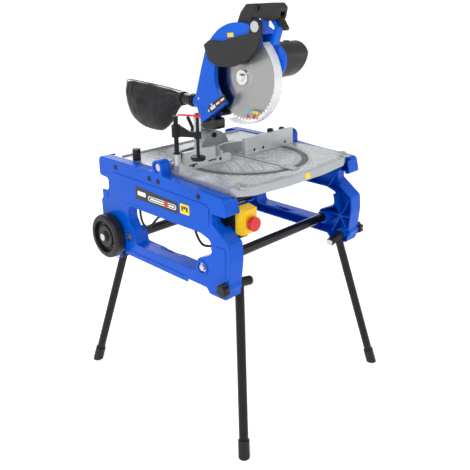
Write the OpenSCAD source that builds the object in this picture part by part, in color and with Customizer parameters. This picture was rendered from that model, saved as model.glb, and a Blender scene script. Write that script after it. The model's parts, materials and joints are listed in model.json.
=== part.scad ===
// Flip-over mitre saw on folding legs: two moulded side frames joined by cross tubes carry a
// table that turns over on side pivots, with a bevelling saw head on a mitring turntable.
// X runs to the user's right, Y away from the user, Z up. Every part is drawn about the
// turntable's centre line and then moved, so that the origin is under the middle of the machine.
// Heights below are counted from a plane that lies `lift` above the floor.

/* [Blade and head] */
// Blade radius
blade_r = 125; // [120:1:126]
// Blade teeth
blade_teeth = 60; // [24:2:96]
// Height of the blade's centre with the head up
blade_z = 887; // [885:1:890]
// Distance of the blade's centre behind the turntable's centre
blade_y = 5; // [4:1:6]
// Chop pivot, distance behind the turntable's centre
chop_y = 165; // [164:1:166]
// Chop pivot, height
chop_z = 760; // [759:1:761]

/* [Table] */
// Height of the table's top face
table_z = 648; // [647:1:649]
// Half of the table's width
table_half = 255; // [250:1:255]
// Turntable radius
turn_r = 169.7; // [160:0.1:169.7]
// Height of the flip pivot
flip_z = 664; // [663:1:665]
// Distance of the flip pivot behind the turntable's centre
flip_y = 55; // [54:1:56]

/* [Stand] */
// Half of the width over the side frames
frame_x = 290; // [288:1:292]
// Thickness of the frames' walls
wall = 4; // [3:0.5:5]
// Cross tube radius
tube_r = 14.5; // [12:0.5:15]
// Cross tube height
tube_z = 423; // [420:1:426]
// Leg tube radius
leg_r = 12.5; // [10:0.5:13]
// Transport wheel radius
wheel_r = 68; // [60:1:70]

/* [Hidden] */
$fn = 48;

run_gap = 0.05;          // radial clearance of every running fit
air = 0.5;               // axial gap beside moving parts

// The machine reaches from the front feet to the back of the dust bag.
foot_front_y = -288;
foot_rear_y = 402;
foot_x = 308;
lift = 70;
bag_back = 584;
foot_r = 15.5;
origin_y = (bag_back + foot_front_y - foot_r) / 2;

// Side frame outline and window as [y, z, corner radius], counter-clockwise.
frame_corners = [[336, 650, 16], [95, 650, 60], [-35, 640, 60], [-204, 633, 14], [-216, 584, 8],
                 [-160, 584, 8], [-160, 558, 8], [-224, 512, 14], [-227, 465, 40], [-214, 357, 12],
                 [-148, 357, 8], [-136, 371, 8], [244, 371, 8], [256, 357, 8], [322, 357, 12],
                 [335, 465, 40], [336, 511, 14], [293, 556, 8], [293, 587, 8], [336, 590, 8]];
window_corners = [[200, 521, 18], [-116, 521, 18], [-154, 510, 18], [-161, 472, 18], [-104, 446, 14],
                  [-92, 406, 10], [172, 406, 10], [178, 446, 14], [200, 480, 18]];
frame_in = frame_x - 48;         // inner face at the corners
frame_top_in = frame_x - 32;     // inner face beside the swinging table
swing_r = 262;                   // radius that the table's sides sweep, with room
tube_front_y = -120;
tube_rear_y = 205;
tube_end = frame_x - 6;
boss_x = frame_x + 2;            // raised bosses round the tube bolts

// Legs: pivot, foot and fold axis of the left-hand ones.
front_pivot = [-223, -192, 380];
rear_pivot = [-242, 305, 325];
front_foot = [-foot_x, foot_front_y, -lift];
rear_foot = [-foot_x, foot_rear_y, -lift];
front_tilt = atan2(foot_x + front_pivot[0], front_pivot[2] + lift);
pin_r = 6;

wheel_y = 284;
wheel_z = 410;
wheel_x0 = frame_x + 3;
wheel_x1 = frame_x + 36;
knob_y = -212;
knob_z = 392;
stud_r = 5;

// Table
deck_t = 8;
ear_r = 13.5;
table_bottom = table_z - 24;
ring_r = 190;
turn_top = table_z - 0.4;
turn_bottom = table_bottom + 9.3;
table_corners = [[table_half, 275, 14], [-table_half, 275, 14], [-table_half, -188, 36],
                 [-196, -222, 60], [-80, -236, 150], [80, -236, 150], [196, -222, 60],
                 [table_half, -188, 36]];
track_from = 22;          // the track's ends, in degrees from the X axis
latch_x = -240;
latch_y = 212;
kerf_half = 4;
kerf_front = -158;
kerf_back = 88;
fence_y = 10;
fence_top = 701;
screw_x = [52, 92, 196, -92, -196];
fence_split = 668;
post_x = -238;
post_y = 30;
post_r = 6.5;
rod_x_pos = -222;
rod_y_pos = -40;
rod_r = 4.5;
arm_len = norm([rod_x_pos - post_x, rod_y_pos - post_y]);
arm_turn = atan2(rod_y_pos - post_y, rod_x_pos - post_x);

// Head
bevel_z = 650;
dome_y = 130;
dome_r = 60;
arm_y0 = 166;
arbor_r = 8;
chop_r = 8;
guard_r = 137;
guard_half = 15;
arm_x0 = -36;
arm_x1 = 30;
cover_x = -46;
lobe_y = -84;
lobe_z = 1035;
motor_y = -85;
motor_z = 940;
motor_r = 50;
motor_x0 = 62;
motor_x1 = 128;
belt_x0 = 46;
belt_x1 = 56;
grip_half = 17;
trigger_y = -128;
trigger_z = 1062;
lock_y = -66;
lock_z = 1083;
spout_x = -8;
spout_z = 797;
spout_r = 18;

// Lead from a grommet in the left window, looped through it, to the plug under the switch box.
lead_r = 3.5;
lead_points = [[-268, 172, 520], [-268, 172, 490], [-267, 160, 462], [-266, 132, 460],
               [-266, 108, 488], [-264, 84, 512], [-252, 44, 514], [-250, 10, 540],
               [-250, -40, 524], [-250, -56, 486], [-246, -70, 462], [-236, -82, 456],
               [-222, -92, 456]];

// ---- helpers ----
module place() { translate([0, -origin_y, lift]) children(); }
module slab_x(x0, x1) { translate([x0, 0, 0]) rotate([90, 0, 90]) linear_extrude(x1 - x0) children(); }
module rod_x(x0, x1, y, z, r) { translate([x0, y, z]) rotate([0, 90, 0]) cylinder(h = x1 - x0, r = r); }
module rod_y(x, y0, y1, z, r) { translate([x, y0, z]) rotate([-90, 0, 0]) cylinder(h = y1 - y0, r = r); }
module block(a, b) { translate(a) cube(b - a); }
// Draws its children along the line from a to b, with the line as their Z axis.
module along(a, b) {
    d = b - a;
    translate(a) rotate([0, acos(d[2] / norm(d)), atan2(d[1], d[0])]) children();
}

function unit(v) = v / norm(v);
function around(list, i) = list[(i + len(list)) % len(list)];
function xy(p) = [p[0], p[1]];
function turn_sign(a, b, c) = cross(xy(b) - xy(a), xy(c) - xy(b)) > 0 ? 1 : -1;
// One corner of an outline as an arc of its radius.
function corner_arc(a, b, c) =
    let (u = unit(xy(a) - xy(b)), v = unit(xy(c) - xy(b)), half = acos(max(-1, min(1, u * v))) / 2,
         reach = b[2] / tan(half), mid = unit(u + v), centre = xy(b) + mid * b[2] / sin(half),
         p = xy(b) + u * reach - centre, sweep = turn_sign(a, b, c) * (180 - 2 * half), n = 5)
    [for (i = [0:n]) let (t = sweep * i / n)
        centre + [p[0] * cos(t) - p[1] * sin(t), p[0] * sin(t) + p[1] * cos(t)]];
function smooth(corners) = [for (i = [0:len(corners) - 1])
    each corner_arc(around(corners, i - 1), corners[i], around(corners, i + 1))];
// The same outline moved inwards by d, with its radii kept concentric.
function inset(corners, d) = [for (i = [0:len(corners) - 1])
    let (a = around(corners, i - 1), b = corners[i], c = around(corners, i + 1),
         u = unit(xy(b) - xy(a)), v = unit(xy(c) - xy(b)), nu = [-u[1], u[0]], nv = [-v[1], v[0]],
         q = xy(b) + (nu + nv) * d / (1 + nu * nv))
    [q[0], q[1], max(0.5, b[2] - turn_sign(a, b, c) * d)]];
function arc(centre, r, a0, a1, n = 16) =
    [for (i = [0:n]) let (t = a0 + (a1 - a0) * i / n) centre + r * [cos(t), sin(t)]];

// ---- stand ----
module frame_plan() {
    difference() {
        polygon(smooth(frame_corners));
        polygon(smooth(window_corners));
    }
}

module frame_rib(a, b, t = 3) {
    d = b - a;
    translate(a) rotate(atan2(d[1], d[0])) translate([0, -t / 2]) square([norm(d), t]);
}

module frame_ribs() {
    frame_rib([-214, 500], [-150, 380]);
    frame_rib([-214, 380], [-150, 500]);
    frame_rib([-214, 440], [-100, 440]);
    frame_rib([-200, 640], [-120, 521]);
    frame_rib([-120, 640], [-40, 521]);
    frame_rib([-40, 521], [40, 645]);
    frame_rib([40, 645], [120, 521]);
    frame_rib([120, 521], [200, 650]);
    frame_rib([200, 650], [290, 521]);
    frame_rib([205, 521], [330, 521]);
    frame_rib([210, 500], [330, 380]);
    frame_rib([210, 380], [330, 500]);
}

module front_pin_line(x0, x1, r) {
    translate(front_pivot) rotate([0, 90 + front_tilt, 0]) translate([0, 0, x0]) cylinder(h = x1 - x0, r = r);
}

module frame_body() {
    difference() {
        union() {
            slab_x(-frame_x, -frame_x + wall) frame_plan();
            slab_x(-frame_x, -frame_in) difference() {
                polygon(smooth(frame_corners));
                polygon(smooth(inset(frame_corners, wall)));
            }
            slab_x(-frame_x, -frame_in) difference() {
                polygon(smooth(inset(window_corners, -wall)));
                polygon(smooth(window_corners));
            }
            slab_x(-frame_x + 1, -frame_in - 6) intersection() {
                frame_plan();
                frame_ribs();
            }
            // flip pivot boss on its foot
            rod_x(-frame_x, -frame_top_in, flip_y, flip_z, 21);
            block([-frame_x, flip_y - 21, flip_z - 40], [-frame_top_in, flip_y + 21, flip_z]);
            // tube sockets, with raised bosses on the outside
            for (y = [tube_front_y, tube_rear_y]) {
                rod_x(-frame_x + 1, -frame_in + 8, y, tube_z, tube_r + 6);
                rod_x(-boss_x, -frame_x + 1, y, tube_z, 22);
            }
            // wheel, knob and leg bosses
            rod_x(-wheel_x0 + air, -frame_in, wheel_y, wheel_z, 16);
            rod_x(-frame_x - 1, -frame_in - 4, knob_y, knob_z, 12);
            intersection() {
                front_pin_line(-58, -15, 16);
                block([-frame_x, -260, 340], [-frame_in + 2, -150, 420]);
            }
            for (x = [-265, -227])
                block([x, rear_pivot[1] - 13, rear_pivot[2]], [x + 8, rear_pivot[1] + 13, 364]);
            block([-265, rear_pivot[1] - 13, 357], [-219, rear_pivot[1] + 13, 364]);
            for (x = [-265, -227]) rod_x(x, x + 8, rear_pivot[1], rear_pivot[2], 12.5);
        }
        rod_x(-frame_top_in, 0, flip_y, flip_z, swing_r);
        rod_x(-frame_x - 1, 0, flip_y, flip_z, 8 + run_gap);
        rod_x(-frame_x - 1, -frame_x + 11, flip_y, flip_z, 14);
        for (y = [tube_front_y, tube_rear_y]) {
            rod_x(-tube_end, 0, y, tube_z, tube_r);
            rod_x(-boss_x - 1, -boss_x + 7, y, tube_z, 15);
            rod_x(-boss_x - 1, 0, y, tube_z, stud_r);
        }
        rod_x(-wheel_x0 - 1, 0, wheel_y, wheel_z, pin_r);
        rod_x(-frame_x - 5, 0, knob_y, knob_z, stud_r + run_gap);
        front_pin_line(-42, 30, pin_r);
        rod_x(-270, -200, rear_pivot[1], rear_pivot[2], pin_r);
    }
}

module frame_left() { color("royalblue") place() frame_body(); }
module frame_right() { color("royalblue") place() mirror([1, 0, 0]) frame_body(); }

module cross_tube(y) {
    difference() {
        rod_x(-tube_end, tube_end, y, tube_z, tube_r);
        rod_x(-tube_end + 30, tube_end - 30, y, tube_z, tube_r - 2);
        rod_x(-tube_end - 1, tube_end + 1, y, tube_z, stud_r);
    }
}

module tube_front() { color("dimgray") place() cross_tube(tube_front_y); }
module tube_rear() { color("dimgray") place() cross_tube(tube_rear_y); }

// Tube bolts, leg pivot pins and wheel axle bolts of one side.
module side_bolts() {
    for (y = [tube_front_y, tube_rear_y]) {
        rod_x(-boss_x + 5, -boss_x + 7, y, tube_z, 13);
        rod_x(-boss_x, -boss_x + 5, y, tube_z, 8.5);
        rod_x(-boss_x + 1, -tube_end + 28, y, tube_z, stud_r);
    }
    rod_x(-wheel_x1 - 1, -frame_in - 4, wheel_y, wheel_z, pin_r);
    rod_x(-wheel_x1 - 5, -wheel_x1 - 1, wheel_y, wheel_z, 11);
    front_pin_line(-42, 44, pin_r);
    front_pin_line(41, 46, 10);
    rod_x(-266, -216, rear_pivot[1], rear_pivot[2], pin_r);
    rod_x(-219, -213, rear_pivot[1], rear_pivot[2], 10);
    rod_x(-271, -265, rear_pivot[1], rear_pivot[2], 10);
}

module frame_bolts() {
    color("silver") place() for (m = [0, 1]) mirror([m, 0, 0]) side_bolts();
}

module front_leg() {
    difference() {
        union() {
            front_pin_line(-13, 40, 13);
            along(front_pivot, front_foot) cylinder(h = norm(front_foot - front_pivot) - 12, r = leg_r);
        }
        front_pin_line(-14, 41, pin_r + run_gap);
    }
}

module rear_leg() {
    difference() {
        union() {
            rod_x(-256, -228, rear_pivot[1], rear_pivot[2], 13);
            along(rear_pivot, rear_foot) cylinder(h = norm(rear_foot - rear_pivot) - 12, r = leg_r);
        }
        rod_x(-270, -210, rear_pivot[1], rear_pivot[2], pin_r + run_gap);
    }
}

// Rubber cap on a leg's end, cut flat on the floor.
module foot_cap(pivot, foot) {
    reach = norm(foot - pivot);
    intersection() {
        difference() {
            along(pivot, foot) translate([0, 0, reach - 46]) cylinder(h = 60, r = foot_r);
            along(pivot, foot) cylinder(h = reach - 12, r = leg_r);
        }
        block([-400, -400, -lift], [400, 500, 100]);
    }
}

module leg_front_left() { color("darkslategray") place() front_leg(); }
module leg_front_right() { color("darkslategray") place() mirror([1, 0, 0]) front_leg(); }
module leg_rear_left() { color("darkslategray") place() rear_leg(); }
module leg_rear_right() { color("darkslategray") place() mirror([1, 0, 0]) rear_leg(); }
module foot_front_left() { color("black") place() foot_cap(front_pivot, front_foot); }
module foot_front_right() { color("black") place() mirror([1, 0, 0]) foot_cap(front_pivot, front_foot); }
module foot_rear_left() { color("black") place() foot_cap(rear_pivot, rear_foot); }
module foot_rear_right() { color("black") place() mirror([1, 0, 0]) foot_cap(rear_pivot, rear_foot); }

module star_knob() {
    translate([-frame_x - 2, knob_y, knob_z]) rotate([0, -90, 0]) {
        cylinder(h = 20, r = 14);
        for (i = [0:5]) rotate(i * 60) translate([13, 0, 3]) cylinder(h = 15, r = 6);
    }
    rod_x(-frame_x - 3, -frame_in - 8, knob_y, knob_z, stud_r);
}

module knob_left() { color("black") place() star_knob(); }
module knob_right() { color("black") place() mirror([1, 0, 0]) star_knob(); }

module on_wheel() { translate([-wheel_x0, wheel_y, wheel_z]) rotate([0, -90, 0]) children(); }
wheel_w = wheel_x1 - wheel_x0;

module tyre() {
    on_wheel() rotate_extrude($fn = 64)
        polygon(smooth([[50, 0, 1], [wheel_r, 0, 9], [wheel_r, wheel_w, 9], [50, wheel_w, 1]]));
}

module hub() {
    on_wheel() difference() {
        rotate_extrude($fn = 64)
            polygon([[pin_r + run_gap, 0.5], [20, 0.5], [20, 12], [50, 12], [50, 20], [34, 20],
                     [34, wheel_w - 5], [16, wheel_w - 5], [16, wheel_w], [pin_r + run_gap, wheel_w]]);
        for (i = [0:4]) rotate(i * 72) translate([42, 0, 0]) cylinder(h = wheel_w, r = 5);
    }
}

module tyre_left() { color("black") place() tyre(); }
module tyre_right() { color("black") place() mirror([1, 0, 0]) tyre(); }
module hub_left() { color("gray") place() hub(); }
module hub_right() { color("gray") place() mirror([1, 0, 0]) hub(); }

// ---- switch ----
module switch_box() {
    color("black") place() difference() {
        block([-242, -198, 508], [-196, -128, 590]);
        block([-237, -199, 512], [-199, -132, 586]);
    }
}

module switch_housing() {
    color("gold") place() difference() {
        slab_x(-241.9, -195)
            polygon(smooth([[-198, 600, 2], [-226, 596, 6], [-226, 526, 5], [-198, 526, 2]]));
        block([-237, -227, 532], [-199, -197, 588]);
    }
}

module switch_lid() {
    color("gold") place() difference() {
        block([-239.5, -231, 530], [-196.5, -226.4, 596]);
        rod_y(-218, -232, -226, 558, 8 + run_gap);
    }
}

module stop_button() {
    color("red") place() {
        rod_y(-218, -248, -236, 558, 19);
        rod_y(-218, -237, -224, 558, 8);
    }
}

module start_button() {
    color("green") place() difference() {
        block([-232, -222, 570], [-204, -200, 584]);
        block([-228, -216, 573], [-208, -199, 581]);
    }
}

// ---- lead ----
function bezier(p, q, r, t) = (1 - t) * (1 - t) * p + 2 * t * (1 - t) * q + t * t * r;
lead_n = len(lead_points);
// Quadratic spans between the midpoints of the route keep it smooth.
lead_path = concat([lead_points[0]],
    [for (i = [1:lead_n - 2]) for (s = [0:4])
        let (a = i == 1 ? lead_points[0] : (lead_points[i - 1] + lead_points[i]) / 2,
             b = i == lead_n - 2 ? lead_points[lead_n - 1] : (lead_points[i] + lead_points[i + 1]) / 2)
        bezier(a, lead_points[i], b, (s + 1) / 5)]);
module sweep(path, r, sides) {
    n = len(path);
    function heading(i) = unit(path[min(n - 1, i + 1)] - path[max(0, i - 1)]);
    rings = [for (i = [0:n - 1]) let (h = heading(i), u = unit(cross(h, [1, 0, 0.01])), v = cross(h, u))
        for (k = [0:sides - 1]) path[i] + r * (cos(360 * k / sides) * u + sin(360 * k / sides) * v)];
    walls = [for (i = [0:n - 2]) for (k = [0:sides - 1]) let (m = (k + 1) % sides)
        [i * sides + k, (i + 1) * sides + k, (i + 1) * sides + m, i * sides + m]];
    ends = [[for (k = [0:sides - 1]) k], [for (k = [sides - 1:-1:0]) (n - 1) * sides + k]];
    polyhedron(rings, concat(walls, ends));
}
module motor_lead() { color("black") place() sweep(lead_path, lead_r, 8); }
module lead_plug() {
    color("black") place() difference() {
        union() {
            block([-229, -128, 444], [-203, -90, 468]);
            block([-226, -140, 448], [-206, -128, 508]);
            translate([-268, 172, 513]) cylinder(h = 7.5, r = 8);
        }
        sweep(lead_path, lead_r + 0.1, 8);
    }
}

// ---- table ----
module rear_track(z) {
    translate([0, 0, z]) rotate(track_from) rotate_extrude(angle = 180 - 2 * track_from, $fn = 96)
        translate([160, 0]) square([54, 30]);
}

module table() {
    color("lightgray") place() difference() {
        union() {
            difference() {
                translate([0, 0, table_bottom]) linear_extrude(24) polygon(smooth(table_corners));
                translate([0, 0, table_bottom - 1]) linear_extrude(25 - deck_t)
                    polygon(smooth(inset(table_corners, 5)));
            }
            // well wall and ledge under the turntable
            translate([0, 0, table_bottom + 4]) difference() {
                cylinder(h = 20, r = ring_r + 4, $fn = 96);
                translate([0, 0, -1]) cylinder(h = 22, r = 155, $fn = 96);
            }
            for (a = [45:90:315]) rotate(a) block([60, -15, table_bottom + 4], [180, 15, table_bottom + 9]);
            // handling lugs on the front corners
            for (x = [-226, 226]) translate([x, -196, table_z - 2]) cylinder(h = 11, r = 10);
        }
        translate([0, 0, table_bottom + 9]) cylinder(h = 60, r = turn_r + 0.3, $fn = 96);
        translate([0, 0, table_z - 3]) cylinder(h = 20, r = ring_r, $fn = 96);
        // track behind the turntable for the bevel pivot
        rear_track(table_z - 14);
        translate([latch_x, latch_y, table_bottom - 1]) cylinder(h = 40, r = 5 + run_gap);
    }
}

module bench_plate() {
    color("silver") place() difference() {
        translate([0, 0, table_bottom]) linear_extrude(4) polygon(smooth(inset(table_corners, 5)));
        translate([0, 0, table_bottom - 1]) linear_extrude(6)
            polygon(smooth([[6, 95, 5.5], [-6, 95, 5.5], [-6, -190, 5.5], [6, -190, 5.5]]));
        translate([latch_x, latch_y, table_bottom - 1]) cylinder(h = 6, r = 5 + run_gap);
    }
}

module scale_ring() {
    color("peru") place() difference() {
        translate([0, 0, table_z - 3]) cylinder(h = 3, r = ring_r, $fn = 96);
        translate([0, 0, table_z - 4]) cylinder(h = 6, r = turn_r + 0.3, $fn = 96);
        rear_track(table_z - 4);
    }
}

module pivot_pin() {
    difference() {
        union() {
            rod_x(-254, -236, flip_y, flip_z, ear_r);
            block([-254, flip_y - ear_r, table_z], [-236, flip_y + ear_r, flip_z]);
        }
        rod_x(-255, -242, flip_y, flip_z, 8);
    }
    rod_x(-frame_x + 6, -242, flip_y, flip_z, 8);
    rod_x(-frame_x + 4, -frame_x + 10.5, flip_y, flip_z, 11);
}

module pivot_pins() { color("silver") place() for (m = [0, 1]) mirror([m, 0, 0]) pivot_pin(); }

module fence_base() {
    color("gainsboro") place() difference() {
        union() {
            for (x = [[-248, -49], [12, 236]]) {
                block([x[0], fence_y, table_z], [x[1], fence_y + 16, fence_split]);
                block([x[0], fence_y + 14, table_z], [x[1], fence_y + 30, table_z + 6]);
            }
            translate([post_x, post_y, table_z]) cylinder(h = 50, r = 11);
            translate([-post_x, post_y, table_z]) cylinder(h = 20, r = 11);
            translate([0, 0, table_z + 0.8]) rotate(12) rotate_extrude(angle = 156, $fn = 96)
                translate([78, 0]) square([8, 30]);
        }
        block([-78, 0, table_z - 1], [12, fence_y - 1, table_z + 60]);
        block([12, fence_y, fence_split], [100, fence_y + 13.5, fence_top]);
        for (x = [post_x, -post_x])
            translate([x, post_y, table_z + 6]) cylinder(h = 60, r = post_r + run_gap);
        for (x = screw_x) {
            rod_y(x, fence_y - 1, fence_y + 16.5, table_z + 12, 3);
            rod_y(x, fence_y - 1, fence_y + 2.5, table_z + 12, 5);
        }
    }
}

module fence_plate(x0, x1) {
    difference() {
        block([x0, fence_y + 1.5, fence_split], [x1, fence_y + 13, fence_top]);
        block([x0 + 10, fence_y + 5, fence_split + 8], [x1 - 10, fence_y + 14, fence_top - 8]);
    }
}
module fence_left() { color("gainsboro") place() fence_plate(-226, -110); }
module fence_right() { color("gainsboro") place() fence_plate(12, 236); }

module fence_screws() {
    color("black") place() for (x = screw_x) {
        rod_y(x, fence_y + 0.3, fence_y + 2.5, table_z + 12, 5);
        rod_y(x, fence_y + 1, fence_y + 16, table_z + 12, 3);
    }
}

// The latch's finger turns towards the left frame when the table is locked.
module table_latch() {
    color("black") place() translate([latch_x, latch_y, 0]) {
        translate([0, 0, table_z + 0.5]) cylinder(h = 34, r = 12);
        translate([0, 0, table_bottom - 18]) cylinder(h = 50, r = 5);
        block([-3.5, -13, table_bottom - 18], [3.5, 0, table_bottom - 10]);
    }
}

module clamp_post() {
    color("dimgray") place() {
        translate([post_x, post_y, table_z + 6.5]) cylinder(h = 146, r = post_r);
        translate([post_x, post_y, 800]) cylinder(h = 4, r = post_r + 1);
        translate([post_x, post_y, table_z + 50.5]) cylinder(h = 3, r = 10);
    }
}

module clamp_arm() {
    color("dimgray") place() difference() {
        union() {
            translate([post_x, post_y, 746]) cylinder(h = 34, r = 12);
            translate([rod_x_pos, rod_y_pos, 750]) cylinder(h = 18, r = 10);
            translate([post_x, post_y, 0]) rotate(arm_turn) translate([0, 4, 0]) rotate([90, 0, 0])
                linear_extrude(8) polygon([[8, 748], [arm_len - 6, 752], [arm_len - 6, 766], [44, 766],
                                           [14, 778], [8, 778]]);
        }
        translate([post_x, post_y, 740]) cylinder(h = 50, r = post_r + run_gap);
        translate([rod_x_pos, rod_y_pos, 740]) cylinder(h = 40, r = rod_r + run_gap);
    }
}

module clamp_screw() {
    color("black") place() translate([rod_x_pos, rod_y_pos, 0]) {
        translate([0, 0, 698]) cylinder(h = 120, r = rod_r);
        translate([0, 0, 690]) rotate_extrude()
            polygon(smooth([[0, 0, 0.2], [20, 0, 4], [20, 11, 4], [0, 13, 0.2]]));
    }
}

module clamp_lever() {
    color("red") place() difference() {
        union() {
            translate([rod_x_pos, rod_y_pos, 807]) cylinder(h = 8, r = 8);
            along([rod_x_pos, rod_y_pos, 811], [-246, 8, 811]) cylinder(h = 54, r = 2.5);
        }
        translate([rod_x_pos, rod_y_pos, 800]) cylinder(h = 40, r = rod_r + run_gap);
    }
}

// ---- turntable and bevel ----
module turntable() {
    color("silver") place() difference() {
        union() {
            translate([0, 0, turn_bottom]) cylinder(h = turn_top - turn_bottom, r = turn_r, $fn = 96);
            block([-14, -200, table_z + 0.3], [14, -150, table_z + 2.5]);
            block([-14, -160, turn_top - 2], [14, -150, table_z + 1]);
            // dome that holds the bevel pivot
            rod_y(0, dome_y, arm_y0 - air, bevel_z, dome_r);
        }
        block([-80, dome_y - 1, 560], [80, arm_y0 + 1, table_bottom + 11]);
        block([-80, arm_y0 - air, 560], [80, 260, turn_top + 1]);
        for (x = [-150, 50])
            block([x, dome_y - 1, 560], [x + 100, arm_y0 + 1, turn_top]);
        // kerf, widened below for the tilted blade
        translate([0, kerf_back, 0]) rotate([90, 0, 0]) linear_extrude(kerf_back - kerf_front)
            polygon([[-kerf_half, 600], [20, 600], [20, 632], [kerf_half, turn_top], [kerf_half, 660],
                     [-kerf_half, 660]]);
        rod_y(0, dome_y + 10, 300, bevel_z, 8);
        rod_y(-5, dome_y - 1, dome_y + 14, bevel_z + 48, 5);
    }
}

// Bevel pivot and the stop screw in the dome's face.
module bevel_bolts() {
    color("black") place() {
        rod_y(0, dome_y + 10, 204, bevel_z, 8);
        rod_y(-5, dome_y - 5, dome_y, bevel_z + 48, 8);
        rod_y(-5, dome_y - 1, dome_y + 14, bevel_z + 48, 5);
    }
}

module sector(r, a0, a1) { polygon(concat([[0, 0]], arc([0, 0], r, a0, a1))); }

module bevel_arm() {
    color("lightgray") place() difference() {
        union() {
            translate([0, arm_y0 + 12, bevel_z]) rotate([90, 0, 0]) linear_extrude(12) sector(58, 48, 132);
            rod_y(0, arm_y0, 204, bevel_z, 13);
            block([-22, arm_y0 + 4, bevel_z], [22, 204, chop_z]);
            rod_x(-19.5, 19.5, chop_y, chop_z, 20);
            block([-19.5, chop_y, chop_z - 30], [19.5, 204, chop_z]);
        }
        rod_y(0, arm_y0 - 1, 210, bevel_z, 8 + run_gap);
        rod_x(-40, 40, chop_y, chop_z, chop_r);
        rod_y(-12, 190, 220, bevel_z + 50, 5 + run_gap);
    }
}

module chop_pin() { color("silver") place() rod_x(arm_x0 + 3, arm_x1 + 6, chop_y, chop_z, chop_r); }

module spring_housing() {
    color("black") place() difference() {
        slab_x(-20, 20)
            polygon(smooth([[chop_y - 0.3, 752, 1], [105, 752, 8], [105, 718, 8], [chop_y - 0.3, 718, 1]]));
        rod_x(-21, 21, chop_y, chop_z, 20.3);
    }
}

module bevel_lever() {
    color("black") place() {
        rod_y(-12, 192, 218, bevel_z + 50, 5);
        rod_y(-12, 208, 222, bevel_z + 50, 9);
        along([-12, 215, bevel_z + 50], [-30, 222, bevel_z + 95]) cylinder(h = 50, r = 5.5);
    }
}

// ---- saw head ----
blade_c = [blade_y, blade_z];
shell_c = [-10, 893];
shell_r = 151;

yoke_corners = [[-76, 1060, 3], [-118, 1060, 3], [-137, 1036, 6], [-116, 976, 5], [-84, 976, 5],
                [-72, 1028, 4]];
yoke_window = [[-84, 1050, 4], [-112, 1050, 4], [-126, 1034, 5], [-110, 992, 4], [-92, 992, 4],
               [-82, 1028, 4]];
grip_corners = [[16, 1030, 4], [-2, 1070, 16], [-24, 1093, 12], [-134, 1098, 12], [-147, 1086, 8],
                [-140, 1056, 6], [-118, 1050, 5], [-70, 1056, 8], [-44, 1058, 10], [-32, 1030, 2]];

// Side view of the arm and upper guard.
module arm_plan() {
    polygon(concat([[150, 737], [172, 790], [172, 826], [148, 900]],
                   arc(shell_c, shell_r, 22, 120),
                   [[-92, 985]],
                   arc(blade_c, 86, 118, -60),
                   [[47, 806]]));
}

module head_arm() {
    color("royalblue") place() difference() {
        union() {
            slab_x(arm_x0, arm_x1) arm_plan();
            rod_y(spout_x, 160, 196, spout_z, spout_r + 3);
            // bracket that carries the handle's front
            slab_x(-13, 13) difference() {
                polygon(smooth(yoke_corners));
                polygon(smooth(yoke_window));
            }
            // arbor carrier on the right-hand side
            hull() {
                rod_x(20, arm_x1, blade_y, blade_z, 34);
                rod_x(20, arm_x1, motor_y, motor_z, 50);
            }
            rod_x(20, arm_x1, 30, 940, 60);
            rod_x(11, 22, blade_y, blade_z, 24);
        }
        // room for the blade and the lower guard
        difference() {
            union() {
                rod_x(-20, 20, blade_y, blade_z, guard_r + 2);
                rod_x(-20, 20, shell_c[0], shell_c[1], shell_r - 8);
                slab_x(-20, 20) polygon([[5, 887], [60, 760], [118, 800]]);
            }
            rod_x(10, 21, blade_y, blade_z, 24);
        }
        // room for the hinge knuckle
        rod_x(-22, 22, chop_y, chop_z, 24);
        slab_x(-22.5, 22.5) translate([chop_y, chop_z]) sector(78, 145, 366);
        rod_x(arm_x0 + 2, arm_x1 + 1, chop_y, chop_z, chop_r + run_gap);
        rod_x(0, 60, blade_y, blade_z, arbor_r + run_gap);
        rod_x(24, 60, motor_y, motor_z, 7);
        rod_y(spout_x, 130, 200, spout_z, spout_r - 3);
    }
}

cover_corners = [[122, 976, 4], [97, 991, 8], [54, 988, 60], [-22, 1008, 60], [-60, 1014, 10],
                 [-63, 1034, 4], [-105, 1034, 10], [-100, 990, 30], [-74, 960, 60], [-42, 938, 60],
                 [8, 919, 80], [66, 917, 60], [106, 934, 20]];
cover_hollow = [[100, 950, 8], [60, 968, 30], [-30, 985, 30], [-70, 990, 8], [-40, 950, 30],
                [20, 930, 30], [70, 930, 30]];

module side_cover() {
    color("dimgray") place() difference() {
        union() {
            slab_x(cover_x, arm_x0) polygon(smooth(cover_corners));
            rod_x(cover_x, arm_x0, lobe_y, lobe_z, 21);
        }
        rod_x(cover_x - 1, cover_x + 3, lobe_y, lobe_z, 17);
        slab_x(cover_x + 3, arm_x0 + 1) polygon(smooth(cover_hollow));
        rod_x(cover_x - 1, arm_x0 + 1, lobe_y, lobe_z, stud_r);
    }
}

module head_screws() {
    color("silver") place() {
        rod_x(cover_x - 2, cover_x + 3, lobe_y, lobe_z, 15);
        rod_x(cover_x - 1, arm_x0 - 1, lobe_y, lobe_z, stud_r);
        for (p = [[178, 812], [120, 800], [132, 780]]) rod_x(arm_x0 - 2, arm_x0, p[0] - 18, p[1], 4);
    }
}

module handle() {
    color("dimgray") place() difference() {
        slab_x(-grip_half, grip_half) polygon(smooth(grip_corners));
        slab_x(-grip_half - 1, grip_half + 1) arm_plan();
        block([-9, -165, 1030], [9, -119, 1075]);
        rod_x(-grip_half + 3, grip_half - 3, trigger_y, trigger_z, 2.5 + run_gap);
        rod_x(-grip_half - 1, -8, lock_y, lock_z, 7 + run_gap);
        slab_x(-13, 13) polygon(smooth(yoke_corners));
    }
}

module trigger() {
    color("black") place() {
        slab_x(-8.5, 8.5) polygon(smooth([[-122, 1067, 3], [-135, 1067, 3], [-161, 1031, 3], [-154, 1024, 3],
            [-138, 1043, 5], [-124, 1057, 3]]));
        rod_x(-grip_half + 3.5, grip_half - 3.5, trigger_y, trigger_z, 2.5);
    }
}

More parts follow.
